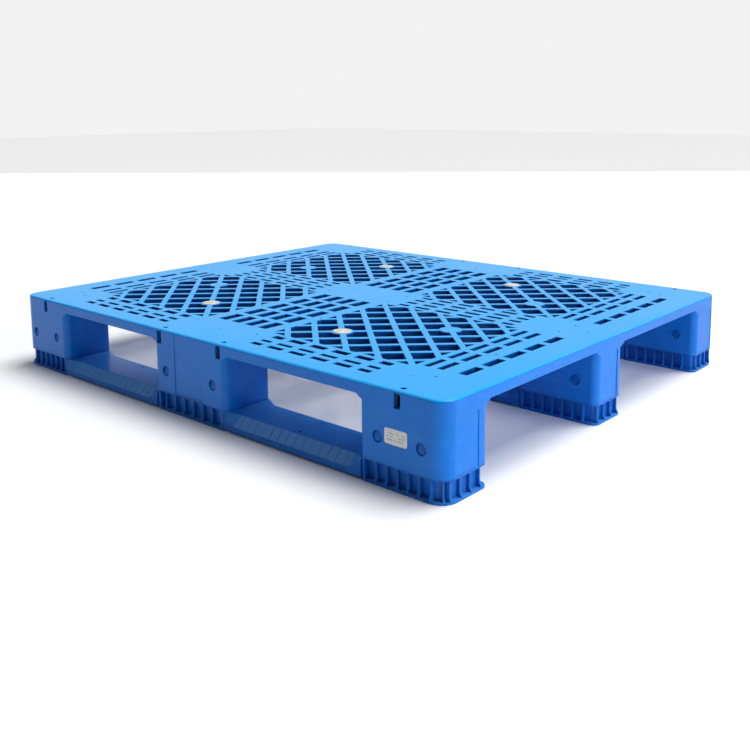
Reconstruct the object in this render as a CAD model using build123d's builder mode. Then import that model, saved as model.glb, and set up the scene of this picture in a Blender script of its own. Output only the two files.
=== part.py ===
"""Four-way plastic pallet with three clip-in runners and four steel stiffening tubes.

Frame: origin on the floor under the middle of the deck, +X along the runners,
+Y across them, +Z up.  All sizes are in millimetres.
"""

from build123d import *
import math
import os

os.makedirs("parts", exist_ok=True)

# ---------------------------------------------------------------- driving dimensions
# Overall
pallet_length = 1200.0  # along X, the direction of the runners
pallet_width = 1000.0  # along Y
pallet_height = 160.0  # floor to deck surface

# Deck moulding
deck_corner_radius = 30.0
deck_edge_radius = 4.0
plate_thickness = 4.0
rim_depth = 20.0

# Legs, all part of the deck moulding
leg_bottom = 40.0
leg_wall = 4.0
leg_corner_radius = 14.0
least_corner_radius = 2.0
corner_leg_length = 170.0
middle_leg_length = 212.0
outer_leg_width = 110.0
middle_leg_width = 98.0
leg_collar = 9.0  # sloped shoulder where a leg meets the rim
collar_slope = 45.0

# Shallow panels on the outer leg faces
end_panel_width = 58.0
side_panel_width = 84.0
panel_depth = 1.2
panel_head_depth = 0.6
panel_head = 130.0  # height where the deep part of a panel stops

# Diagonal lattice fields, one in each quarter of the deck
field_inner_x = 98.5
field_end_margin = 158.0
field_inner_y = 56.7
field_side_margin = 119.3
lattice_x = 74.5  # one diagonal of a lattice cell
lattice_y = 70.25  # the other diagonal
lattice_bar = 11.5

# Rows of slots between and around the lattice fields
slot_length = 48.6
slot_gap = 14.7
centre_columns = ((19.5, 24.0), (58.5, 24.0))  # distance from the centre line, width
end_columns = ((139.0, 12.5), (111.5, 13.5), (66.0, 18.0))  # distance from the end, width
strip_slot = 38.0
strip_end_slot = 27.0
strip_gap = 16.4
strip_margin = 26.0
middle_rows = ((13.3, 11.0), (39.9, 11.0))  # distance from the centre line, width
side_rows = ((101.0, 15.0), (71.0, 9.5), (48.0, 12.0))  # distance from the side, width

# Round bosses on lattice crossings, and the rubber plugs in half of them
boss_radius = 22.0
boss_floor = 8.0
plug_node = (-2, 2)  # lattice steps from the field's centre
boss_node = (2, -2)
plug_radius = 17.5
plug_head = 3.5
plug_proud = 1.0
plug_clearance = 0.3
plug_stem_radius = 9.0
plug_bulb_radius = 11.0
plug_bulb = 4.0
plug_bulb_taper = 20.0

# Steel stiffening tubes and the channels that hold them
tube_width = 12.0
tube_depth = 22.0
tube_wall = 1.5
tube_corner = 2.0
tube_end_recess = 6.0
tube_side_clearance = 0.5
tube_top_clearance = 2.0
channel_wall = 3.0
inner_tube_x = 88.0
outer_tube_end_margin = 91.0
drain_radius = 5.0
drain_side_margin = 16.0
vent_radius = 2.25
vent_rows = (31.0, 238.0, 406.0)  # distance of the small vents from the centre line

# Runners
foot_flange = 4.0
foot_top_flange = 3.0
foot_recess = 10.0
foot_wall = 4.0
foot_post = 12.0
middle_post = 16.0
rib_thickness = 3.0
rib_inset = 4.0
rib_flare = 8.0
rib_cap = 3.0
corner_rib_pitch = 22.0
middle_rib_pitch = 27.8  # from one post of a middle foot, so the run is off centre
middle_rib_count = 6
end_rib_reach = 36.9  # from the middle of a foot's end to its outermost rib there
end_rib_pitch = 24.6
rail_lift = 3.0
rail_lip = 14.5
rail_top = 32.0
rail_wall = 4.0
rail_end_length = 22.0
rail_rib_pitch = 52.0
rail_drain_radius = 2.5
rail_drain_offset = 27.0
post_clearance = 1.0
post_wall = 3.5
post_headroom = 3.0

# Snap studs that lock the runners into the legs
stud_radius = 8.0
stud_hole_radius = 10.0
stud_recess = 1.0  # at the foot of a stud's face
stud_slope = 3.5  # further in at the head of its face
stud_height = 80.0
stud_from_inner_edge = 39.0
stud_from_end = 45.0
middle_stud_x = 70.0

# Label
label_length = 45.0
label_height = 25.0
label_thickness = 0.5
label_recess = 0.6
label_clearance = 0.5
label_corner = 4.0
label_from_end = 94.0
label_centre_height = 86.0

# ---------------------------------------------------------------- derived places
half_length = pallet_length / 2
half_width = pallet_width / 2
rim_bottom = pallet_height - rim_depth
plate_bottom = pallet_height - plate_thickness
corner_leg_x = half_length - corner_leg_length / 2
outer_row_y = half_width - outer_leg_width / 2
tube_places = [
    side * x for x in (inner_tube_x, half_length - outer_tube_end_margin) for side in (-1, 1)
]
channel_width = tube_width + 2 * tube_side_clearance
tube_bottom = plate_bottom - tube_top_clearance - tube_depth
channel_bottom = tube_bottom - channel_wall

field_length = half_length - field_end_margin - field_inner_x
field_width = half_width - field_side_margin - field_inner_y
field_x = field_inner_x + field_length / 2
field_y = field_inner_y + field_width / 2

# (name, centre of the row, width of its legs)
rows = [
    ("front", -outer_row_y, outer_leg_width),
    ("middle", 0.0, middle_leg_width),
    ("back", outer_row_y, outer_leg_width),
]
# (centre of the leg, its length)
column_names = ("left", "middle", "right")
leg_columns = [
    (-corner_leg_x, corner_leg_length),
    (0.0, middle_leg_length),
    (corner_leg_x, corner_leg_length),
]


# ---------------------------------------------------------------- outlines
def deck_outline():
    """The deck's plan outline."""
    RectangleRounded(pallet_length, pallet_width, deck_corner_radius)


def leg_outlines(columns, y, wide, grow=0.0):
    """Plan outlines of one row's legs, moved outwards by grow.

    An outline moved inwards also keeps its distance from the deck's rounded corners.
    """
    radius = max(leg_corner_radius + grow, least_corner_radius)
    for x, long in columns:
        with Locations((x, y)):
            RectangleRounded(long + 2 * grow, wide + 2 * grow, radius)
    if grow < 0:
        RectangleRounded(
            pallet_length + 2 * grow,
            pallet_width + 2 * grow,
            deck_corner_radius + grow,
            mode=Mode.INTERSECT,
        )


def mirrored(points):
    """Points of one quarter of the deck, mirrored into all four."""
    return [(sx * x, sy * y) for x, y in points for sx in (-1, 1) for sy in (-1, 1)]


def slot_corners():
    """Corner points of every straight slot in one quarter of the deck."""
    pitch = slot_length + slot_gap
    count = int((field_width + slot_gap) // pitch)
    run_y = [field_y + (k - (count - 1) / 2) * pitch for k in range(count)]
    columns = list(centre_columns) + [(half_length - x, wide) for x, wide in end_columns]
    places = [(x, y, wide, slot_length) for x, wide in columns for y in run_y]

    step = strip_slot + strip_gap
    full = int((field_length - 2 * (strip_margin + strip_end_slot) - strip_gap) // step)
    run_x = [(field_x + (k - (full - 1) / 2) * step, strip_slot) for k in range(full)]
    end_step = (full * step + strip_end_slot + strip_gap) / 2
    run_x += [(field_x + side * end_step, strip_end_slot) for side in (-1, 1)]
    strips = list(middle_rows) + [(half_width - y, wide) for y, wide in side_rows]
    places += [(x, y, long, wide) for x, long in run_x for y, wide in strips]
    turns = ((-1, -1), (1, -1), (1, 1), (-1, 1))
    return [
        [(x + sx * long / 2, y + sy * wide / 2) for sx, sy in turns]
        for x, y, long, wide in places
    ]


def clipped(points, axis, side, limit):
    """A convex outline with what lies beyond side * limit along one axis cut off."""
    kept = []
    for start, end in zip(points[-1:] + points[:-1], points):
        inside = [side * p[axis] <= limit for p in (start, end)]
        if inside[0] != inside[1]:
            share = (side * limit - start[axis]) / (end[axis] - start[axis])
            kept.append(tuple(s + share * (e - s) for s, e in zip(start, end)))
        if inside[1]:
            kept.append(end)
    return kept


def lattice_corners():
    """Corner points of every lattice opening in one quarter of the deck."""
    half_x, half_y = lattice_x / 2, lattice_y / 2
    inner = half_x * half_y / math.hypot(half_x, half_y)
    scale = 1 - lattice_bar / 2 / inner
    reach_x = math.ceil(field_length / lattice_x) + 1
    reach_y = math.ceil(field_width / lattice_y) + 1
    outlines = []
    for i in range(-reach_x, reach_x + 1):
        for j in range(-reach_y, reach_y + 1):
            if (i + j) % 2 == 0:
                continue
            x, y = i * half_x, j * half_y
            points = [
                (x + scale * half_x, y),
                (x, y + scale * half_y),
                (x - scale * half_x, y),
                (x, y - scale * half_y),
            ]
            for axis, limit in ((0, field_length / 2), (1, field_width / 2)):
                for side in (-1, 1):
                    points = clipped(points, axis, side, limit) if points else points
            if points:
                outlines.append([(field_x + px, field_y + py) for px, py in points])
    return outlines


def node_places(node):
    """Deck positions of one lattice crossing, in all four quarters."""
    return mirrored([(field_x + node[0] * lattice_x / 2, field_y + node[1] * lattice_y / 2)])


# ---------------------------------------------------------------- top deck
# distance of each snap stud from the middle of the pallet
stud_xs = [
    side * x
    for x in (
        middle_stud_x,
        half_length - corner_leg_length + stud_from_inner_edge,
        half_length - stud_from_end,
    )
    for side in (-1, 1)
]
plug_places = node_places(plug_node)
boss_places = plug_places + node_places(boss_node)
label_x = half_length - label_from_end

opening_wires = [
    Wire.make_polygon([(sx * x, sy * y) for x, y in points], close=True)
    for points in slot_corners() + lattice_corners()
    for sx in (-1, 1)
    for sy in (-1, 1)
]

with BuildPart() as leg_blocks:
    for _, y, wide in rows:
        with BuildSketch(Plane.XY.offset(leg_bottom)):
            leg_outlines(leg_columns, y, wide)
        extrude(amount=rim_bottom - leg_bottom)
        with BuildSketch(Plane.XY.offset(rim_bottom)):
            leg_outlines(leg_columns, y, wide, grow=leg_collar)
        extrude(amount=-leg_collar, taper=collar_slope)
    with BuildSketch(Plane.XY.offset(leg_bottom)):
        deck_outline()
    extrude(amount=rim_bottom - leg_bottom, mode=Mode.INTERSECT)

with BuildPart() as deck_bosses:
    # bosses on the lattice, and channels for the stiffening tubes
    with BuildSketch(Plane.XY.offset(rim_bottom)):
        with Locations(*boss_places):
            Circle(boss_radius)
    extrude(amount=rim_depth)
    with BuildSketch(Plane.XY.offset(channel_bottom)):
        with Locations(*[(x, 0) for x in tube_places]):
            Rectangle(channel_width + 2 * channel_wall, pallet_width)
    extrude(amount=rim_bottom - channel_bottom)

with BuildPart() as deck_cuts:
    # insides of the legs, around the tube channels
    for _, y, wide in rows:
        with BuildSketch(Plane.XY.offset(leg_bottom)):
            leg_outlines(leg_columns, y, wide, grow=-leg_wall)
        extrude(amount=channel_bottom - leg_bottom)
        with BuildSketch(Plane.XY.offset(channel_bottom)):
            leg_outlines(leg_columns, y, wide, grow=-leg_wall)
            with Locations(*[(x, y) for x in tube_places]):
                Rectangle(channel_width + 2 * channel_wall, wide, mode=Mode.SUBTRACT)
        extrude(amount=plate_bottom - channel_bottom)
    with BuildSketch(Plane.XY.offset(tube_bottom)):
        with Locations(*[(x, 0) for x in tube_places]):
            Rectangle(channel_width, pallet_width)
    extrude(amount=plate_bottom - tube_bottom)

    # drains and vents over the tubes
    with BuildSketch(Plane.XY.offset(plate_bottom)):
        with Locations(
            *[(x, s * (half_width - drain_side_margin)) for x in tube_places for s in (-1, 1)]
        ):
            Circle(drain_radius)
        with Locations(*[(x, s * y) for x in tube_places for y in vent_rows for s in (-1, 1)]):
            Circle(vent_radius)
    extrude(amount=plate_thickness)

    # bores under the plugs, their stem holes and their seats
    with BuildSketch(Plane.XY.offset(rim_bottom)):
        with Locations(*plug_places):
            Circle(plug_radius)
    extrude(amount=rim_depth - boss_floor)
    with BuildSketch(Plane.XY.offset(pallet_height)):
        with Locations(*plug_places):
            Circle(plug_radius + plug_clearance)
    extrude(amount=plug_proud - plug_head)
    with BuildSketch(Plane.XY.offset(pallet_height)):
        with Locations(*plug_places):
            Circle(plug_stem_radius)
    extrude(amount=-boss_floor)

    # holes for the snap studs, through both side walls of each leg
    for _, y, wide in rows:
        with BuildSketch(Plane.XZ.offset(-y)):
            with Locations(*[(x, stud_height) for x in stud_xs]):
                Circle(stud_hole_radius)
        extrude(amount=wide / 2, both=True)

    # shallow panels on the end faces and on the side faces of the middle legs
    for side in (-1, 1):
        with BuildSketch(Plane.YZ.offset(side * half_length)):
            with Locations(*[(y, (leg_bottom + panel_head) / 2) for _, y, _ in rows]):
                Rectangle(end_panel_width, panel_head - leg_bottom)
        extrude(amount=-side * panel_depth)
        with BuildSketch(Plane.XZ.offset(side * half_width)):
            with Locations((0, (leg_bottom + panel_head) / 2)):
                Rectangle(side_panel_width, panel_head - leg_bottom)
        extrude(amount=-side * panel_depth)
        with BuildSketch(Plane.XZ.offset(side * half_width)):
            with Locations((0, (panel_head + plate_bottom) / 2)):
                Rectangle(side_panel_width, plate_bottom - panel_head)
        extrude(amount=-side * panel_head_depth)

    # label recess
    with BuildSketch(Plane.XZ.offset(half_width)):
        with Locations((label_x, label_centre_height)):
            RectangleRounded(
                label_length + 2 * label_clearance,
                label_height + 2 * label_clearance,
                label_corner,
            )
    extrude(amount=-label_recess)

with BuildSketch() as whole_outline:
    deck_outline()

with BuildPart() as deck_moulding:
    # one deep grid: the outline with every opening through it
    with BuildSketch(Plane.XY.offset(rim_bottom)):
        add(Face(whole_outline.face().outer_wire(), opening_wires))
    extrude(amount=rim_depth)
    fillet(deck_moulding.faces().sort_by(Axis.Z)[-1].outer_wire().edges(), deck_edge_radius)
    add([leg_blocks.part, deck_bosses.part])
    add(deck_cuts.part, mode=Mode.SUBTRACT)

# The moulding is kept as ten solids that meet at the bottom of the tube channels:
# the deck above that level, and nine legs below it.
with BuildPart() as top_deck:
    add(deck_moulding.part)
    split(bisect_by=Plane.XY.offset(channel_bottom), keep=Keep.TOP)
top_deck.part.label = "top_deck"
export_step(top_deck.part, "parts/top_deck.step")

with BuildPart() as deck_legs:
    add(deck_moulding.part)
    split(bisect_by=Plane.XY.offset(channel_bottom), keep=Keep.BOTTOM)
for leg in deck_legs.solids():
    row_name = min(rows, key=lambda row: abs(row[1] - leg.center().Y))[0]
    column = min(range(len(leg_columns)), key=lambda k: abs(leg_columns[k][0] - leg.center().X))
    leg.label = f"leg_{row_name}_{column_names[column]}"
    export_step(leg, f"parts/{leg.label}.step")

# ---------------------------------------------------------------- tubes, plugs and label
for number, x in enumerate(sorted(tube_places), 1):
    with BuildPart() as tube:
        with BuildSketch(Plane.XZ):
            with Locations((x, tube_bottom + tube_depth / 2)):
                RectangleRounded(tube_width, tube_depth, tube_corner)
                Rectangle(
                    tube_width - 2 * tube_wall, tube_depth - 2 * tube_wall, mode=Mode.SUBTRACT
                )
        extrude(amount=half_width - tube_end_recess, both=True)
    tube.part.label = f"stiffening_tube_{number}"
    export_step(tube.part, f"parts/stiffening_tube_{number}.step")

for number, place in enumerate(plug_places, 1):
    with BuildPart() as plug:
        with BuildSketch(Plane.XY.offset(pallet_height + plug_proud)):
            with Locations(place):
                Circle(plug_radius)
        extrude(amount=-plug_head)
        fillet(plug.edges().sort_by(Axis.Z)[-1], plug_proud)
        with BuildSketch(Plane.XY.offset(pallet_height + plug_proud - plug_head)):
            with Locations(place):
                Circle(plug_stem_radius)
        extrude(amount=-(boss_floor + plug_proud - plug_head))
        with BuildSketch(Plane.XY.offset(pallet_height - boss_floor)):
            with Locations(place):
                Circle(plug_bulb_radius)
        extrude(amount=-plug_bulb, taper=plug_bulb_taper)
    plug.part.label = f"grip_plug_{number}"
    export_step(plug.part, f"parts/grip_plug_{number}.step")

with BuildPart() as label:
    with BuildSketch(Plane.XZ.offset(half_width - label_recess)):
        with Locations((label_x, label_centre_height)):
            RectangleRounded(label_length, label_height, label_corner)
    extrude(amount=label_thickness)
label.part.label = "info_label"
export_step(label.part, "parts/info_label.step")


# ---------------------------------------------------------------- runners
rail_chamfer = rail_top - rail_lip
post_top = channel_bottom - post_headroom
post_inset = leg_wall + post_clearance
corner_inner_x = half_length - corner_leg_length
middle_outer_x = middle_leg_length / 2
rib_top = leg_bottom - foot_top_flange
middle_half = middle_outer_x - middle_post
diagonal = math.sqrt(0.5)
arc_inset = deck_corner_radius * (1 - diagonal)  # from the deck's edges to its corner arc's middle


def spread(start, end, pitch):
    """Places from start to end, ends included, as near to the pitch as fits evenly."""
    count = max(round((end - start) / pitch), 1)
    return [start + (end - start) * k / count for k in range(count + 1)]


def rib_planes(places, inward):
    """Upright planes at points of a foot's face: x runs inwards from the face, y up."""
    across = Vector(*inward, 0).cross(Vector(0, 0, 1))
    return [Plane(origin=(*place, 0), x_dir=(*inward, 0), z_dir=across) for place in places]


def rib_outline():
    """A foot rib seen from its side, flaring out to both flanges."""
    root = foot_recess + foot_wall / 2
    Polygon(
        (root, foot_flange),
        (0, foot_flange),
        (rib_inset, foot_flange + rib_flare),
        (rib_inset, rib_top - rib_cap),
        (0, rib_top),
        (root, rib_top),
        align=None,
    )


def rail_section(y, half, chamfer, bottom, top):
    """Cross-section with two upright lips and a chamfered top."""
    Polygon(
        (y - half, bottom),
        (y + half, bottom),
        (y + half, top - chamfer),
        (y + half - chamfer, top),
        (y - half + chamfer, top),
        (y - half, top - chamfer),
        align=None,
    )


for row_name, y, wide in rows:
    half_wide = wide / 2
    with BuildPart() as runner:
        # feet: two flush flanges with a recessed wall between them
        with BuildSketch():
            leg_outlines(leg_columns, y, wide)
        extrude(amount=foot_flange)
        with BuildSketch():
            leg_outlines(leg_columns, y, wide, grow=-foot_recess)
        extrude(amount=rib_top)
        with BuildSketch(Plane.XY.offset(rib_top)):
            leg_outlines(leg_columns, y, wide)
        extrude(amount=foot_top_flange)

        # smooth posts at the rail ends of the feet
        with BuildSketch():
            leg_outlines(leg_columns, y, wide)
            with Locations((0, y)):
                Rectangle(2 * middle_half, wide, mode=Mode.SUBTRACT)
            for side in (-1, 1):
                with Locations((side * (corner_inner_x + foot_post + half_length) / 2, y)):
                    Rectangle(corner_leg_length - foot_post, wide, mode=Mode.SUBTRACT)
        extrude(amount=rib_top)

        # ribs on the long faces and on the free ends
        corner_run = spread(
            corner_inner_x + foot_post, half_length - deck_corner_radius, corner_rib_pitch
        )[1:]
        middle_run = [
            middle_half - step * middle_rib_pitch for step in range(1, middle_rib_count + 1)
        ]
        end_ys = [y + step for step in spread(-end_rib_reach, end_rib_reach, end_rib_pitch)]
        rib_faces = []
        for side in (-1, 1):
            # the two long faces of a middle foot are the same after half a turn
            face_xs = [-side * x for x in middle_run] + corner_run + [-x for x in corner_run]
            rib_faces += rib_planes([(x, y + side * half_wide) for x in face_xs], (0, -side))
            rib_faces += rib_planes([(side * half_length, end_y) for end_y in end_ys], (-side, 0))
        if y:
            outward = math.copysign(1, y)
            for side in (-1, 1):
                place = (side * (half_length - arc_inset), outward * (half_width - arc_inset))
                rib_faces += rib_planes([place], (-side * diagonal, -outward * diagonal))
        with BuildSketch(*rib_faces):
            rib_outline()
        extrude(amount=rib_thickness / 2, both=True)

        # rails between the feet, growing out of them through short sloped ends
        for side in (-1, 1):
            ends = (
                (middle_outer_x - foot_wall, middle_outer_x + rail_end_length),
                (corner_inner_x + foot_wall, corner_inner_x - rail_end_length),
            )
            for root, tip in ends:
                with BuildSketch(Plane.YZ.offset(side * root)):
                    rail_section(y, half_wide, foot_flange, rail_lift, leg_bottom - foot_flange)
                with BuildSketch(Plane.YZ.offset(side * tip)):
                    rail_section(y, half_wide, rail_chamfer, rail_lift, rail_top)
                loft(ruled=True)
            with BuildSketch(Plane.YZ.offset(side * (middle_outer_x + rail_end_length))):
                rail_section(y, half_wide, rail_chamfer, rail_lift, rail_top)
            straight = corner_inner_x - middle_outer_x - 2 * rail_end_length
            extrude(amount=side * straight)

        # hollow rails, with cross ribs and a middle rib left standing
        rib_xs = spread(middle_outer_x, corner_inner_x, rail_rib_pitch)
        cells = [
            (side * (start + end) / 2, end - start - rib_thickness)
            for start, end in zip(rib_xs, rib_xs[1:])
            for side in (-1, 1)
        ]
        cell_width = half_wide - rail_wall - rib_thickness / 2
        flat_half = half_wide - rail_chamfer - rail_wall
        for x, long in cells:
            with BuildSketch(Plane.XY.offset(rail_lift)):
                with Locations(
                    *[(x, y + s * (cell_width + rib_thickness) / 2) for s in (-1, 1)]
                ):
                    Rectangle(long, cell_width)
            extrude(amount=rail_lip - rail_lift - rail_wall / 2, mode=Mode.SUBTRACT)
            with BuildSketch(Plane.XY.offset(rail_lift)):
                with Locations(
                    *[(x, y + s * (flat_half + rib_thickness / 2) / 2) for s in (-1, 1)]
                ):
                    Rectangle(long, flat_half - rib_thickness / 2)
            extrude(amount=rail_top - rail_lift - rail_wall, mode=Mode.SUBTRACT)
        drain_x = (middle_outer_x + corner_inner_x) / 2
        with BuildSketch(Plane.XY.offset(rail_lift)):
            with Locations(
                *[(a * drain_x, y + b * rail_drain_offset) for a in (-1, 1) for b in (-1, 1)]
            ):
                Circle(rail_drain_radius)
        extrude(amount=rail_top, mode=Mode.SUBTRACT)

        # hollow posts that stand inside the legs
        with BuildSketch(Plane.XY.offset(leg_bottom)):
            leg_outlines(leg_columns, y, wide, grow=-post_inset)
        extrude(amount=post_top - leg_bottom)
        with BuildSketch():
            leg_outlines(leg_columns, y, wide, grow=-foot_recess - foot_wall)
            with Locations(*[(x, y) for x, _ in leg_columns]):
                Rectangle(rib_thickness, wide, mode=Mode.SUBTRACT)
        extrude(amount=rib_top, mode=Mode.SUBTRACT)
        with BuildSketch(Plane.XY.offset(rib_top)):
            leg_outlines(leg_columns, y, wide, grow=-foot_recess - foot_wall)
        extrude(amount=post_top - post_wall - rib_top, mode=Mode.SUBTRACT)

        # snap studs, standing out into the holes of the legs
        for side in (-1, 1):
            reach = half_wide - post_inset - post_wall
            for x in stud_xs:
                with BuildSketch(Plane.XZ.offset(-y - side * reach)):
                    with Locations((x, stud_height)):
                        Circle(stud_radius)
                extrude(amount=-side * (post_inset + post_wall - stud_recess))
            face = y + side * half_wide
            with BuildSketch(Plane.YZ.offset(-half_length)):
                Polygon(
                    (face, stud_height - stud_radius),
                    (face - side * stud_recess, stud_height - stud_radius),
                    (face - side * (stud_recess + stud_slope), stud_height + stud_radius),
                    (face, stud_height + stud_radius),
                    align=None,
                )
            extrude(amount=pallet_length, mode=Mode.SUBTRACT)
        # clip to the deck's rounded corners
        with BuildSketch():
            deck_outline()
        extrude(amount=pallet_height, mode=Mode.INTERSECT)
    runner.part.label = f"runner_{row_name}"
    export_step(runner.part, f"parts/runner_{row_name}.step")
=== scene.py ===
"""Plastic pallet: looks, small details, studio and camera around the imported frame.

Everything is in metres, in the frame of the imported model: +X along the runners,
+Y across them, +Z up, with the floor at zero.
"""

import math

import bpy
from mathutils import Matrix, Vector


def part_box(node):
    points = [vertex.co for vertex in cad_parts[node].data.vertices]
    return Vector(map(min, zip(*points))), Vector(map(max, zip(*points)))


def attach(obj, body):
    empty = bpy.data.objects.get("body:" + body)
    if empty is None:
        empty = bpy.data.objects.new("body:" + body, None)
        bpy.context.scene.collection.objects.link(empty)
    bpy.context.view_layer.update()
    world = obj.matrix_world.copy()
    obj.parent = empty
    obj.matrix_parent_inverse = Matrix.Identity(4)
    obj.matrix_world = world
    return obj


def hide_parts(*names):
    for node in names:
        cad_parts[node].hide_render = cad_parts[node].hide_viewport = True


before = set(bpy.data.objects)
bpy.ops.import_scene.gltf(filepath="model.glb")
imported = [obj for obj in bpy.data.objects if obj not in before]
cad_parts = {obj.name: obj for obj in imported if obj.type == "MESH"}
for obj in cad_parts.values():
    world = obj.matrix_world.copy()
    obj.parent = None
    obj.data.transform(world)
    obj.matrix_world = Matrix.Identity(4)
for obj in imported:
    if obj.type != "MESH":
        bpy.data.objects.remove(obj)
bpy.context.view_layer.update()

MM = 0.001
DEGREE = math.pi / 180

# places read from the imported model
DECK_LOW, DECK_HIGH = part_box("top_deck")
DECK_TOP = DECK_HIGH.z
DECK_HALF_LENGTH = DECK_HIGH.x
DECK_HALF_WIDTH = DECK_HIGH.y
RIM_BOTTOM = DECK_TOP - 20 * MM
SEAM = DECK_LOW.z  # the level where the deck's solid ends and its legs begin
PLUGS = [name for name in sorted(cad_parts) if name.startswith("grip_plug")]
TUBES = [name for name in sorted(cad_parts) if name.startswith("stiffening_tube")]
LEGS = [name for name in sorted(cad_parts) if name.startswith("leg_")]
RUNNERS = ["runner_front", "runner_middle", "runner_back"]


# ------------------------------------------------------------------ shader writing
class Wire:
    """A socket's value in a node tree, which adds Math nodes when it is calculated with."""

    def __init__(self, sheet, socket):
        self.sheet = sheet
        self.socket = socket

    def calc(self, operation, *values):
        return self.sheet.node("ShaderNodeMath", {"operation": operation}, dict(enumerate(values)))

    def __add__(self, other):
        return self.calc("ADD", self, other)

    def __radd__(self, other):
        return self.calc("ADD", other, self)

    def __sub__(self, other):
        return self.calc("SUBTRACT", self, other)

    def __rsub__(self, other):
        return self.calc("SUBTRACT", other, self)

    def __mul__(self, other):
        return self.calc("MULTIPLY", self, other)

    def __rmul__(self, other):
        return self.calc("MULTIPLY", other, self)

    def __truediv__(self, other):
        return self.calc("DIVIDE", self, other)

    def __abs__(self):
        return self.calc("ABSOLUTE", self)

    def sine(self):
        return self.calc("SINE", self)

    def fraction(self):
        return self.calc("FRACT", self)

    def power(self, exponent):
        return self.calc("POWER", self, exponent)

    def at_most(self, other):
        return self.calc("MINIMUM", self, other)

    def ramp(self, start, end):
        """0 before start and 1 after end, smooth between them."""
        settings = {"interpolation_type": "SMOOTHSTEP"}
        return self.sheet.node("ShaderNodeMapRange", settings, {0: self, 1: start, 2: end})


class Sheet:
    """One material's node tree."""

    def __init__(self, name):
        self.material = bpy.data.materials.new(name)
        self.material.use_nodes = True
        self.tree = self.material.node_tree
        self.tree.nodes.clear()
        self.output = self.tree.nodes.new("ShaderNodeOutputMaterial")
        self.place = self.node("ShaderNodeTexCoord", output="Object")

    def node(self, kind, settings=None, values=None, output=0):
        """Adds a node, sets its settings and then its sockets, and returns one output."""
        made = self.tree.nodes.new(kind)
        for key, value in (settings or {}).items():
            setattr(made, key, value)
        for key, value in (values or {}).items():
            socket = made.inputs[key]
            if isinstance(value, Wire):
                self.tree.links.new(value.socket, socket)
            else:
                socket.default_value = value
        return Wire(self, made.outputs[output])

    def separate(self, vector):
        """The three numbers of a vector."""
        made = self.tree.nodes.new("ShaderNodeSeparateXYZ")
        self.tree.links.new(vector.socket, made.inputs[0])
        return [Wire(self, made.outputs[slot]) for slot in range(3)]

    def axes(self):
        """The object coordinates along X, Y and Z."""
        return self.separate(self.place)

    def facing(self):
        """How far the surface faces along each axis, from -1 to 1."""
        return self.separate(self.node("ShaderNodeNewGeometry", output="True Normal"))

    def stretched(self, scale):
        """Object coordinates, scaled differently along each axis."""
        values = {0: self.place, 1: scale}
        return self.node("ShaderNodeVectorMath", {"operation": "MULTIPLY"}, values)

    def noise(self, scale, detail, rough, place=None, twist=0.0):
        """Fractal noise on the object coordinates, or on another place."""
        values = {
            "Vector": place or self.place,
            "Scale": scale,
            "Detail": detail,
            "Roughness": rough,
            "Distortion": twist,
        }
        return self.node("ShaderNodeTexNoise", {"noise_dimensions": "3D"}, values)

    def tint(self, share, first, second):
        """Mixes two colours by share."""
        values = {"Factor": share, 6: first, 7: second}
        return self.node("ShaderNodeMix", {"data_type": "RGBA"}, values, output=2)

    def worn_edges(self, radius):
        """The softened normal near edges, and how strongly a point lies on an edge.

        Both are left out at the level of SEAM, where the deck and its legs are one moulding
        and only their solids meet.
        """
        soft = self.node("ShaderNodeBevel", {"samples": 4}, {"Radius": radius})
        plain = self.node("ShaderNodeNewGeometry", output="Normal")
        settings = {"operation": "DOT_PRODUCT"}
        along = self.node("ShaderNodeVectorMath", settings, {0: soft, 1: plain}, output="Value")
        _, _, height = self.axes()
        clear = abs(height - SEAM).ramp(radius, 1.6 * radius)
        values = {"Factor": clear, 4: plain, 5: soft}
        kept = self.node("ShaderNodeMix", {"data_type": "VECTOR"}, values, output=1)
        return kept, (1.0 - along).ramp(0.01, 0.22) * clear

    def bump(self, height, strength, distance, normal=None):
        """The normal of a surface raised by height times distance."""
        values = {"Height": height, "Strength": strength, "Distance": distance}
        if normal:
            values["Normal"] = normal
        return self.node("ShaderNodeBump", None, values)

    def surface(self, values):
        """Ends the material in one Principled surface."""
        shader = self.node("ShaderNodeBsdfPrincipled", None, values)
        self.tree.links.new(shader.socket, self.output.inputs["Surface"])
        return self.material


def rgb(red, green, blue):
    return (red, green, blue, 1.0)


# ------------------------------------------------------------------ finishes
PLASTIC_IOR = 1.5
PLASTIC_SHINE = 0.22
RUBBER_SHINE = 0.3
EDGE_WEAR = 1.3 * MM  # how far a moulding's edges are softened and worn
RUBBER_EDGE_WEAR = 0.6 * MM
FOOT_WEAR_LOW = 2 * MM  # the feet are rubbed below these two levels, less towards the upper
FOOT_WEAR_HIGH = 46 * MM
RIM_SKIN = 9 * MM  # the painted shade on the openings' walls starts this far in, and is full a little further
RIM_SKIN_FADE = 4 * MM
SHRINK_PITCH = 14 * MM  # between the ribs that show through the rim
PAINTED_WELL_SHADE = rgb(0.0, 0.018, 0.13)
DUST_GREY = rgb(0.42, 0.45, 0.48)
PRINT_ROWS = 5.0


def away_from(edge, distance, fade, place):
    """1 where a place is further in than distance + fade from edge, on either side, else less."""
    return 1.0 - abs(place).ramp(edge - distance - fade, edge - distance)


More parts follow.
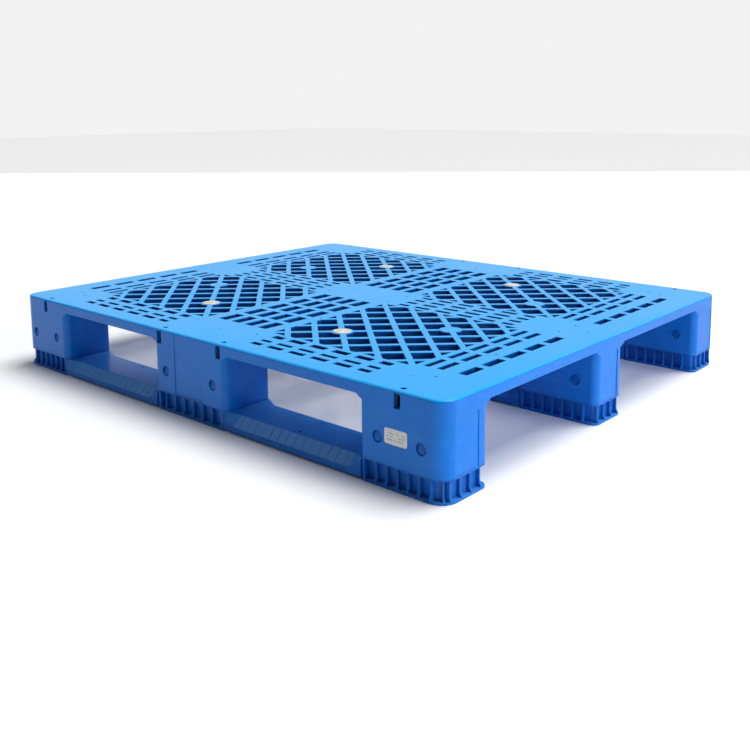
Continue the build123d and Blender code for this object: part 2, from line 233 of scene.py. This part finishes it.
def moulded_plastic(name, body, pale, deep, top_painted_light, gloss, dusty):
    """Injection-moulded polyethylene: flow marks, fine grain, scuffs and worn edges, with painted
    light on upward faces and painted shade in the deck's openings.
    """
    sheet = Sheet(name)
    x, y, z = sheet.axes()
    face_x, face_y, face_z = sheet.facing()
    soft, edge = sheet.worn_edges(EDGE_WEAR)

    clouds = sheet.noise(5.0, 3.0, 0.5)
    flow = sheet.noise(1.0, 5.0, 0.6, sheet.stretched((14.0, 42.0, 90.0)), 0.6)
    speck = sheet.noise(900.0, 2.0, 0.6)
    grain = sheet.noise(1500.0, 3.0, 0.65)
    peel = sheet.noise(160.0, 2.0, 0.5)

    top = face_z.ramp(0.6, 0.95)
    upright = 1.0 - abs(face_z).ramp(0.2, 0.6)

    # scratches from sliding loads, in two directions on what faces up
    long_cuts = sheet.noise(1.0, 3.0, 0.7, sheet.stretched((16.0, 620.0, 40.0)), 0.35)
    cross_cuts = sheet.noise(1.0, 3.0, 0.7, sheet.stretched((540.0, 13.0, 40.0)), 0.35)
    patches = sheet.noise(9.0, 3.0, 0.6).ramp(0.5, 0.68)
    scratch = (long_cuts.ramp(0.64, 0.72) + cross_cuts.ramp(0.66, 0.74)).at_most(1.0)
    scratch = scratch * patches * top

    # rubbing on the feet, and dust that gathers low down
    low = 1.0 - z.ramp(FOOT_WEAR_LOW, FOOT_WEAR_HIGH)
    rubbed = sheet.noise(70.0, 5.0, 0.7).ramp(0.56, 0.7) * low * upright
    chips = sheet.noise(240.0, 3.0, 0.6).ramp(0.5, 0.6) * edge
    dust = (sheet.noise(26.0, 5.0, 0.65).ramp(0.42, 0.72) * dusty).at_most(1.0)

    colour = sheet.tint(clouds.ramp(0.3, 0.7), deep, body)
    # upward faces painted lighter and more cyan: painted light and sheen on what faces up
    colour = sheet.tint(face_z.ramp(0.3, 0.7) * 0.9, colour, top_painted_light)
    # painted shade that darkens the walls of the deck's openings and the hollows below them
    inside = away_from(DECK_HALF_LENGTH, RIM_SKIN, RIM_SKIN_FADE, x)
    inside = inside * away_from(DECK_HALF_WIDTH, RIM_SKIN, RIM_SKIN_FADE, y)
    deck_part = z.ramp(RIM_BOTTOM - 10 * MM, RIM_BOTTOM - 8 * MM)
    deck_part = deck_part * (1.0 - z.ramp(DECK_TOP - 3 * MM, DECK_TOP - 0.5 * MM))
    colour = sheet.tint(upright * inside * deck_part * 0.85, colour, PAINTED_WELL_SHADE)
    colour = sheet.tint(flow.ramp(0.4, 0.8) * 0.12, colour, pale)
    colour = sheet.tint(speck.ramp(0.55, 0.75) * 0.2, colour, pale)
    colour = sheet.tint(scratch * 0.5, colour, pale)
    colour = sheet.tint((chips * 0.35 + rubbed * 0.3).at_most(1.0), colour, pale)
    colour = sheet.tint(dust * 0.06, colour, DUST_GREY)

    roughness = gloss + (clouds - 0.5) * 0.12 + (speck - 0.5) * 0.1
    roughness = roughness + scratch * 0.16 + rubbed * 0.16 + dust * 0.1 + edge * 0.03

    # shrink lines behind the rim's inner ribs, down its outer faces
    rim = z.ramp(RIM_BOTTOM, RIM_BOTTOM + 2 * MM) * upright
    wave = math.tau / SHRINK_PITCH
    lines_x = (x * wave).sine() * abs(face_y).ramp(0.7, 0.9)
    lines_y = (y * wave).sine() * abs(face_x).ramp(0.7, 0.9)
    shrink = ((lines_x + lines_y) * 0.5 + 0.5).power(6.0) * rim

    height = grain * 0.35 + peel * 0.5 - scratch * 0.5 - shrink * 0.9 - chips * 0.4
    normal = sheet.bump(height, 0.35, 0.22 * MM, soft)
    values = {"Base Color": colour, "Roughness": roughness, "Normal": normal}
    values["IOR"] = PLASTIC_IOR
    values["Specular IOR Level"] = PLASTIC_SHINE
    return sheet.surface(values)


def mill_steel(name):
    """Drawn steel tube: streaks along its length, with brown staining."""
    sheet = Sheet(name)
    streaks = sheet.noise(1.0, 4.0, 0.7, sheet.stretched((2600.0, 30.0, 2600.0)))
    stain = sheet.noise(48.0, 5.0, 0.7).ramp(0.4, 0.62)
    pits = sheet.noise(1400.0, 2.0, 0.6)
    colour = sheet.tint(streaks.ramp(0.3, 0.7), rgb(0.16, 0.155, 0.15), rgb(0.3, 0.29, 0.28))
    colour = sheet.tint(stain * 0.75, colour, rgb(0.1, 0.05, 0.03))
    roughness = 0.34 + streaks * 0.16 + stain * 0.3
    metal = 1.0 - stain * 0.55
    normal = sheet.bump(streaks * 0.5 + pits * 0.4, 0.4, 0.12 * MM)
    values = {"Base Color": colour, "Roughness": roughness, "Metallic": metal, "Normal": normal}
    return sheet.surface(values)


def moulded_rubber(name):
    """Beige rubber with a matt skin, dark dust in its low parts and pale bloom."""
    sheet = Sheet(name)
    soft, edge = sheet.worn_edges(RUBBER_EDGE_WEAR)
    mottle = sheet.noise(90.0, 4.0, 0.6)
    grain = sheet.noise(1900.0, 3.0, 0.7)
    dirt = sheet.noise(260.0, 4.0, 0.65).ramp(0.5, 0.7)
    colour = sheet.tint(mottle.ramp(0.3, 0.7), rgb(0.62, 0.56, 0.45), rgb(0.8, 0.75, 0.65))
    colour = sheet.tint(dirt * 0.35, colour, rgb(0.3, 0.29, 0.26))
    colour = sheet.tint(edge * 0.3, colour, rgb(0.86, 0.83, 0.76))
    roughness = 0.62 + mottle * 0.16 + dirt * 0.08
    normal = sheet.bump(grain, 0.4, 0.2 * MM, soft)
    values = {"Base Color": colour, "Roughness": roughness, "Normal": normal}
    values["Specular IOR Level"] = RUBBER_SHINE
    return sheet.surface(values)


def printed_film(name, low, high):
    """Grey-white film with rows of short plain dashes that spell nothing."""
    sheet = Sheet(name)
    x, _, z = sheet.axes()
    across = (x - low.x) / (high.x - low.x)
    up = (z - low.z) / (high.z - low.z)
    rows = (up * PRINT_ROWS).fraction()
    band = rows.ramp(0.34, 0.4) * (1.0 - rows.ramp(0.6, 0.66))
    dashes = sheet.noise(1.0, 1.0, 0.4, sheet.stretched((430.0, 1.0, 200.0))).ramp(0.47, 0.5)
    inside = across.ramp(0.1, 0.12) * (1.0 - across.ramp(0.86, 0.88))
    inside = inside * up.ramp(0.12, 0.16) * (1.0 - up.ramp(0.84, 0.88))
    print_mark = band * dashes * inside
    smudge = sheet.noise(120.0, 4.0, 0.6)
    fibre = sheet.noise(2400.0, 2.0, 0.5)
    colour = sheet.tint(smudge.ramp(0.3, 0.75), rgb(0.62, 0.63, 0.64), rgb(0.83, 0.84, 0.84))
    colour = sheet.tint(print_mark * 0.8, colour, rgb(0.12, 0.13, 0.15))
    roughness = 0.42 + smudge * 0.2 + print_mark * 0.1
    normal = sheet.bump(fibre * 0.4 + smudge * 0.8, 0.35, 0.1 * MM)
    values = {"Base Color": colour, "Roughness": roughness, "Normal": normal}
    return sheet.surface(values)


def paint(piece, material):
    """Gives every slot of a piece one finish."""
    if not piece.data.materials:
        piece.data.materials.append(material)
    for slot in piece.material_slots:
        slot.material = material


deck_blue = moulded_plastic(
    "deck_blue_polyethylene",
    body=rgb(0.0005, 0.165, 0.66),
    pale=rgb(0.03, 0.42, 0.93),
    deep=rgb(0.0005, 0.148, 0.6),
    top_painted_light=rgb(0.006, 0.42, 0.96),
    gloss=0.3,
    dusty=0.3,
)
runner_blue = moulded_plastic(
    "runner_blue_polyethylene",
    body=rgb(0.0005, 0.13, 0.55),
    pale=rgb(0.03, 0.29, 0.76),
    deep=rgb(0.0005, 0.112, 0.49),
    top_painted_light=rgb(0.05, 0.26, 0.68),
    gloss=0.32,
    dusty=0.5,
)
# the gate marks' paler blue is partly the trimmed plastic's own tone and partly a painted
# highlight for their glint
gate_blue_painted_glint = moulded_plastic(
    "trimmed_gate_polyethylene_painted_glint",
    body=rgb(0.03, 0.33, 0.8),
    pale=rgb(0.16, 0.52, 0.93),
    deep=rgb(0.01, 0.25, 0.72),
    top_painted_light=rgb(0.1, 0.45, 0.93),
    gloss=0.2,
    dusty=0.2,
)
tube_metal = mill_steel("stained_mill_steel")
plug_beige = moulded_rubber("beige_moulded_rubber")
label_low, label_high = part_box("info_label")
label_film = printed_film("plain_printed_film", label_low, label_high)

for node_name in ["top_deck"] + LEGS:
    paint(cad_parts[node_name], deck_blue)
for node_name in RUNNERS:
    paint(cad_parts[node_name], runner_blue)
for node_name in TUBES:
    paint(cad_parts[node_name], tube_metal)
paint(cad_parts["info_label"], label_film)


# ------------------------------------------------------------------ modelling tools
def rest():
    """Leaves edit mode, with nothing selected."""
    if bpy.context.object and bpy.context.object.mode != "OBJECT":
        bpy.ops.object.mode_set(mode="OBJECT")
    bpy.ops.object.select_all(action="DESELECT")


def pick_edges(piece, wanted):
    """Selects in edit mode exactly the edges that wanted(first, second) accepts."""
    bpy.ops.object.mode_set(mode="OBJECT")
    points = piece.data.vertices
    for vertex in points:
        vertex.select = False
    for face in piece.data.polygons:
        face.select = False
    for side in piece.data.edges:
        side.select = bool(wanted(*[points[end].co for end in side.vertices]))
    bpy.ops.object.mode_set(mode="EDIT")
    bpy.ops.mesh.select_mode(type="EDGE")


def choose(piece):
    """Makes a piece the only selected one, and the active one."""
    rest()
    piece.select_set(True)
    bpy.context.view_layer.objects.active = piece


def edit_all(piece):
    """Opens a piece for editing, with all of it selected."""
    choose(piece)
    bpy.ops.object.mode_set(mode="EDIT")
    bpy.ops.mesh.select_all(action="SELECT")


def settle(piece):
    """Puts a piece's place into its mesh and turns its faces outwards."""
    choose(piece)
    bpy.ops.object.transform_apply(location=True, rotation=True, scale=True)
    edit_all(piece)
    bpy.ops.mesh.normals_make_consistent(inside=False)
    rest()


def copy_to(piece, name, shift):
    """A copy of a finished piece with its own mesh, moved by shift."""
    twin = piece.copy()
    twin.data = piece.data.copy()
    twin.name = name
    twin.data.name = name
    bpy.context.collection.objects.link(twin)
    for vertex in twin.data.vertices:
        vertex.co += Vector(shift)
    return twin


def smooth(piece, angle):
    """Shades a piece smooth, except at edges sharper than angle in degrees."""
    choose(piece)
    bpy.ops.object.shade_smooth_by_angle(angle=angle * DEGREE)
    rest()


def join(pieces, name):
    """Makes several pieces one object, with its name on its mesh too."""
    rest()
    for piece in pieces:
        piece.select_set(True)
    bpy.context.view_layer.objects.active = pieces[0]
    bpy.ops.object.join()
    pieces[0].name = name
    pieces[0].data.name = name
    rest()
    return pieces[0]


# ------------------------------------------------------------------ rubber grip plugs
plug_low, plug_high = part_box(PLUGS[0])
plug_at = Vector(((plug_low.x + plug_high.x) / 2, (plug_low.y + plug_high.y) / 2, 0))
PLUG_SIDES = 64
HEAD_RADIUS = (plug_high.x - plug_low.x) / 2
STEM_RADIUS = 9 * MM
BULB_RADIUS = 11 * MM
BULB_TIP = 9.5 * MM
HEAD_BOTTOM = plug_high.z - 3.5 * MM
BULB_TOP = plug_low.z + 4 * MM
HEAD_ROUNDING = 1 * MM
HEAD_LAND = 3.2 * MM  # flat ring between the head's edge and its groove
GROOVE_SLOPE = 0.9 * MM
GROOVE_FLOOR = 1.4 * MM
GROOVE_DEPTH = 0.5 * MM
DISH_WIDTH = 5.2 * MM
DISH_DEPTH = 0.15 * MM
BAR_LENGTH = 17 * MM
BAR_WIDTH = 1.6 * MM
BAR_HEIGHT = 0.8 * MM
BAR_ROUNDING = 0.25 * MM
SAME_LEVEL = 0.01 * MM
SMOOTH_PLUG = 40


def extrude_ring(height, radius_scale):
    """Extrudes the picked face upwards, then widens or narrows its end."""
    move = {"value": (0, 0, height)}
    bpy.ops.mesh.extrude_region_move(TRANSFORM_OT_translate=move)
    if radius_scale != 1:
        bpy.ops.transform.resize(value=(radius_scale, radius_scale, 1), center_override=plug_at)


def on_head_edge(first, second):
    """An edge of the head's outer top ring."""
    level = all(abs(p.z - plug_high.z) < SAME_LEVEL for p in (first, second))
    reach = min((Vector((p.x, p.y, 0)) - plug_at).length for p in (first, second))
    return level and reach > HEAD_RADIUS - 0.1 * MM


def plug_body():
    """Bulb, stem and grooved head, turned from one ring."""
    rest()
    bpy.ops.mesh.primitive_circle_add(
        vertices=PLUG_SIDES,
        radius=BULB_TIP,
        fill_type="NGON",
        location=(plug_at.x, plug_at.y, plug_low.z),
    )
    body = bpy.context.object
    bpy.ops.object.mode_set(mode="EDIT")
    bpy.ops.mesh.select_all(action="SELECT")
    extrude_ring(BULB_TOP - plug_low.z, BULB_RADIUS / BULB_TIP)
    extrude_ring(0, STEM_RADIUS / BULB_RADIUS)
    extrude_ring(HEAD_BOTTOM - BULB_TOP, 1)
    extrude_ring(0, HEAD_RADIUS / STEM_RADIUS)
    extrude_ring(plug_high.z - HEAD_BOTTOM, 1)
    bpy.ops.mesh.inset(thickness=HEAD_LAND, depth=0)
    bpy.ops.mesh.inset(thickness=GROOVE_SLOPE, depth=-GROOVE_DEPTH)
    bpy.ops.mesh.inset(thickness=GROOVE_FLOOR, depth=0)
    bpy.ops.mesh.inset(thickness=GROOVE_SLOPE, depth=GROOVE_DEPTH)
    bpy.ops.mesh.inset(thickness=DISH_WIDTH, depth=-DISH_DEPTH)
    settle(body)
    choose(body)
    pick_edges(body, on_head_edge)
    bpy.ops.mesh.bevel(offset=HEAD_ROUNDING, segments=4, profile=0.5)
    bpy.ops.object.mode_set(mode="OBJECT")
    return body


def cross_bar(turn):
    """One low bar of the cross on the head, turned in degrees from +X."""
    rest()
    bpy.ops.mesh.primitive_cube_add(
        size=1,
        location=(plug_at.x, plug_at.y, plug_high.z - 0.5 * MM),
        rotation=(0, 0, turn * DEGREE),
        scale=(BAR_LENGTH, BAR_WIDTH, BAR_HEIGHT),
    )
    bar = bpy.context.object
    settle(bar)
    edit_all(bar)
    bpy.ops.mesh.bevel(offset=BAR_ROUNDING, segments=2)
    bpy.ops.object.mode_set(mode="OBJECT")
    return bar


plug = join([plug_body(), cross_bar(45), cross_bar(135)], "rubber_plug_1")
smooth(plug, SMOOTH_PLUG)
paint(plug, plug_beige)
for number, node_name in enumerate(PLUGS, 1):
    low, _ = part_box(node_name)
    piece = plug if number == 1 else copy_to(plug, f"rubber_plug_{number}", low - plug_low)
    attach(piece, "root")
    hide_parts(node_name)

# ------------------------------------------------------------------ gate marks on the deck
GATE_SIDES = 28
GATE_RADIUS = 4 * MM
GATE_SUNK = 0.3 * MM  # below the deck's top, so that a mark and the deck are not level
GATE_HEIGHT = 0.55 * MM
GATE_CHAMFER = 0.5 * MM
GATE_CHAMFER_HEIGHT = 0.15 * MM
GATE_DISH_SLOPE = 0.7 * MM
GATE_DISH_FLOOR = 1.3 * MM
GATE_TIP_SLOPE = 0.3 * MM
GATE_DISH_DEPTH = 0.25 * MM
SMOOTH_GATE = 50

# one of each set of marks that lie the same way from the middle, in mm
GATE_CORNERS = ((476, 421), (308, 255), (552, 0), (277, 0), (0, 420), (0, 120))
gate_places = [
    Vector((sign_x * gate_x * MM, sign_y * gate_y * MM, 0))
    for gate_x, gate_y in GATE_CORNERS
    for sign_x in ((-1, 1) if gate_x else (1,))
    for sign_y in ((-1, 1) if gate_y else (1,))
]


def gate_mark(place):
    """A small trimmed stub with a dished top, where the plastic was injected."""
    rest()
    bpy.ops.mesh.primitive_circle_add(
        vertices=GATE_SIDES,
        radius=GATE_RADIUS,
        fill_type="NGON",
        location=(place.x, place.y, DECK_TOP - GATE_SUNK),
    )
    mark = bpy.context.object
    mark.name = "gate_mark_1"
    mark.data.name = "gate_mark_1"
    bpy.ops.object.mode_set(mode="EDIT")
    bpy.ops.mesh.select_all(action="SELECT")
    bpy.ops.mesh.extrude_region_move(TRANSFORM_OT_translate={"value": (0, 0, GATE_HEIGHT)})
    bpy.ops.mesh.inset(thickness=GATE_CHAMFER, depth=GATE_CHAMFER_HEIGHT)
    bpy.ops.mesh.inset(thickness=GATE_DISH_SLOPE, depth=-GATE_DISH_DEPTH)
    bpy.ops.mesh.inset(thickness=GATE_DISH_FLOOR, depth=0)
    bpy.ops.mesh.inset(thickness=GATE_TIP_SLOPE, depth=GATE_DISH_DEPTH)
    settle(mark)
    smooth(mark, SMOOTH_GATE)
    return mark


gate = gate_mark(gate_places[0])
paint(gate, gate_blue_painted_glint)
for number, place in enumerate(gate_places, 1):
    shift = place - gate_places[0]
    piece = gate if number == 1 else copy_to(gate, f"gate_mark_{number}", shift)
    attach(piece, "root")

# ------------------------------------------------------------------ ridges on the rail ramps
LIP_TOP = 14.5 * MM
RAIL_TOP = 32 * MM
RAMP = RAIL_TOP - LIP_TOP  # the ramps slope at 45 degrees
RAMP_LENGTH = math.hypot(RAMP, RAMP)
RAIL_MIDDLE = 268 * MM
RIDGE_PITCH = 19.6 * MM
RIDGE_COUNT = 14
RIDGE_HEIGHT = 0.5 * MM
RIDGE_WIDTH = 1.4 * MM
RIDGE_END_GAP = 1 * MM
RIDGE_CHAMFER = 0.25 * MM


def first_ridge(ramp_side, low, high):
    """The first ridge on one ramp of a runner, on its -Y side (-1) or its +Y side (1)."""
    ramp_y = (low.y + high.y) / 2 + ramp_side * ((high.y - low.y) / 2 - RAMP / 2)
    rest()
    bpy.ops.mesh.primitive_cube_add(
        size=1,
        location=(
            -RAIL_MIDDLE - (RIDGE_COUNT - 1) / 2 * RIDGE_PITCH,
            ramp_y,
            (LIP_TOP + RAIL_TOP) / 2,
        ),
        rotation=(-ramp_side * 45 * DEGREE, 0, 0),
        scale=(RIDGE_WIDTH, RAMP_LENGTH - 2 * RIDGE_END_GAP, 2 * RIDGE_HEIGHT),
    )
    ridge = bpy.context.object
    settle(ridge)
    edit_all(ridge)
    bpy.ops.mesh.bevel(offset=RIDGE_CHAMFER, segments=1)
    bpy.ops.object.mode_set(mode="OBJECT")
    return ridge


ridge_moves = [
    rail * 2 * RAIL_MIDDLE + step * RIDGE_PITCH for rail in (0, 1) for step in range(RIDGE_COUNT)
]
for row_name in RUNNERS:
    ridges = []
    for ramp_side in (-1, 1):
        ridge = first_ridge(ramp_side, *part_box(row_name))
        ridges.append(ridge)
        ridges += [copy_to(ridge, "ramp_ridge", (move, 0, 0)) for move in ridge_moves[1:]]
    piece = join(ridges, f"ramp_ridges_{row_name}")
    paint(piece, runner_blue)
    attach(piece, "root")

# ------------------------------------------------------------------ studio
FLOOR_SIZE = 30
SUN_STRENGTH = 3.0
SUN_SPREAD = 40  # degrees
SUN_TILT = (-20, 12, 0)  # degrees
AIR_LIGHT = 0.05
BACKDROP_WHITE = 0.89
WHITE = rgb(1.0, 1.0, 1.0)

rest()
bpy.ops.mesh.primitive_plane_add(size=FLOOR_SIZE, location=(0, 0, 0))
floor = bpy.context.object
floor.name = "studio_floor"
floor_sheet = Sheet("pale_studio_floor")
floor_tone = floor_sheet.noise(0.8, 2.0, 0.5)
floor_colour = floor_sheet.tint(floor_tone, rgb(0.95, 0.95, 0.95), rgb(0.97, 0.97, 0.97))
paint(floor, floor_sheet.surface({"Base Color": floor_colour, "Roughness": 0.8}))


def add_object(name, data):
    """A lamp or camera, put into the scene."""
    made = bpy.data.objects.new(name, data)
    bpy.context.collection.objects.link(made)
    return made


def soft_light(name, place, aim, size, power):
    """A panel of soft light at place, turned to aim."""
    data = bpy.data.lights.new(name, "AREA")
    data.shape = "RECTANGLE"
    data.size, data.size_y = size
    data.energy = power
    lamp = add_object(name, data)
    lamp.location = place
    lamp.visible_camera = False
    lamp.rotation_euler = (Vector(aim) - Vector(place)).to_track_quat("-Z", "Y").to_euler()


# name, place, aim, size in metres, power in watts
soft_light("key_right", (3.6, -0.1, 0.9), (0.3, 0, 0.1), (1.6, 1.2), 62)
soft_light("sheen_behind", (-3.6, 4.4, 1.3), (0, 0, 0.1), (9.0, 2.2), 48)
soft_light("sheen_left", (-2.6, -2.4, 2.6), (0, -0.3, 0.1), (2.2, 2.2), 20)
soft_light("edge_glow", (1.9, 3.9, 2.0), (0.3, 0, 0.1), (2.4, 1.0), 26)

sun = bpy.data.lights.new("overhead", "SUN")
sun.energy = SUN_STRENGTH
sun.angle = SUN_SPREAD * DEGREE
add_object("overhead", sun).rotation_euler = [turn * DEGREE for turn in SUN_TILT]

# the studio air: dim as light, pale grey as a backdrop
world = bpy.data.worlds.new("studio_world")
bpy.context.scene.world = world
world.use_nodes = True
air = world.node_tree
glow = air.nodes["Background"]
glow.inputs["Color"].default_value = WHITE
glow.inputs["Strength"].default_value = AIR_LIGHT
backdrop = air.nodes.new("ShaderNodeBackground")
backdrop.inputs["Color"].default_value = WHITE
backdrop.inputs["Strength"].default_value = BACKDROP_WHITE
rays = air.nodes.new("ShaderNodeLightPath")
blend = air.nodes.new("ShaderNodeMixShader")
air.links.new(rays.outputs["Is Camera Ray"], blend.inputs[0])
air.links.new(glow.outputs[0], blend.inputs[1])
air.links.new(backdrop.outputs[0], blend.inputs[2])
air.links.new(blend.outputs[0], air.nodes["World Output"].inputs["Surface"])

# ------------------------------------------------------------------ camera
CAMERA_PLACE = (1.36359, -1.50592, 0.58311)
CAMERA_TURN = (81.54, 0.306, 40.98)  # degrees
FOCAL_LENGTH = 44.065  # millimetres, on a sensor 36 mm wide
LENS_SHIFT = (-0.01395, -0.1795)  # keeps the uprights nearly parallel while it looks down

lens = bpy.data.cameras.new("studio_camera")
lens.sensor_width = 36
lens.lens = FOCAL_LENGTH
lens.shift_x, lens.shift_y = LENS_SHIFT
lens.clip_end = 60
camera = add_object("studio_camera", lens)
camera.location = CAMERA_PLACE
camera.rotation_euler = [turn * DEGREE for turn in CAMERA_TURN]
bpy.context.scene.camera = camera
bpy.context.scene.view_settings.view_transform = "Standard"
